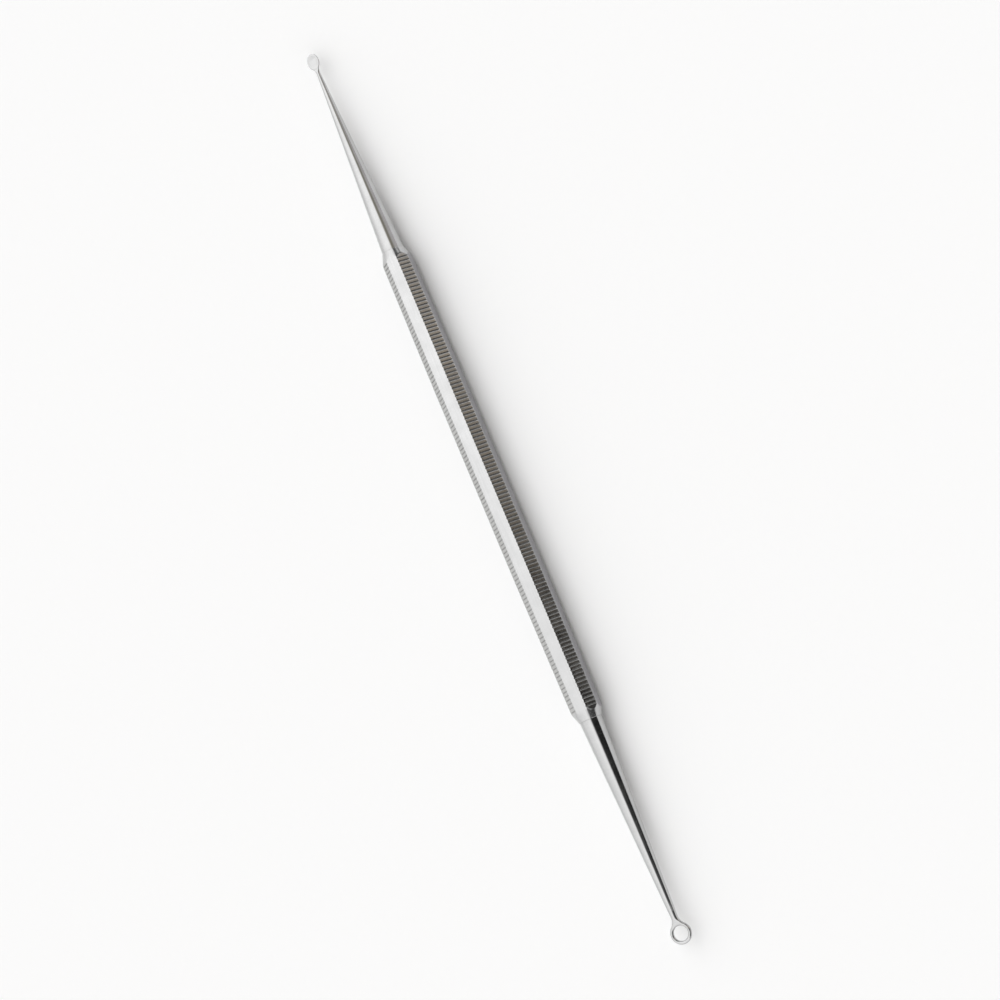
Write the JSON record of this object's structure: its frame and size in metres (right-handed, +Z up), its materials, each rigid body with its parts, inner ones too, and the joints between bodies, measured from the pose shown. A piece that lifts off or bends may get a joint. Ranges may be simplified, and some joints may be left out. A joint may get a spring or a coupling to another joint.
{
  "type": "blackhead extractor",
  "caption": "Slim double-ended steel hand tool: knurled octagonal handle with tapered shanks, one ending in a small round loop and the other in a tiny oval scoop.",
  "frame": {"origin": "under the middle of the tool's overall length, on the surface that the handle's lower flat lies on", "axes": "+X along the tool towards the scoop, -X towards the loop, +Z up out of the handle's upper plain flat, through the loop's hole"},
  "size_m": [0.14, 0.0044, 0.0045],
  "materials": {
    "knurled_steel": "ground plain flats between flats with fine cross grooves",
    "polished_steel": "polished stainless steel"
  },
  "bodies": {
    "root": {"handle": "knurled_steel", "loop_end": "polished_steel", "scoop_end": "polished_steel"}
  },
  "joints": []
}
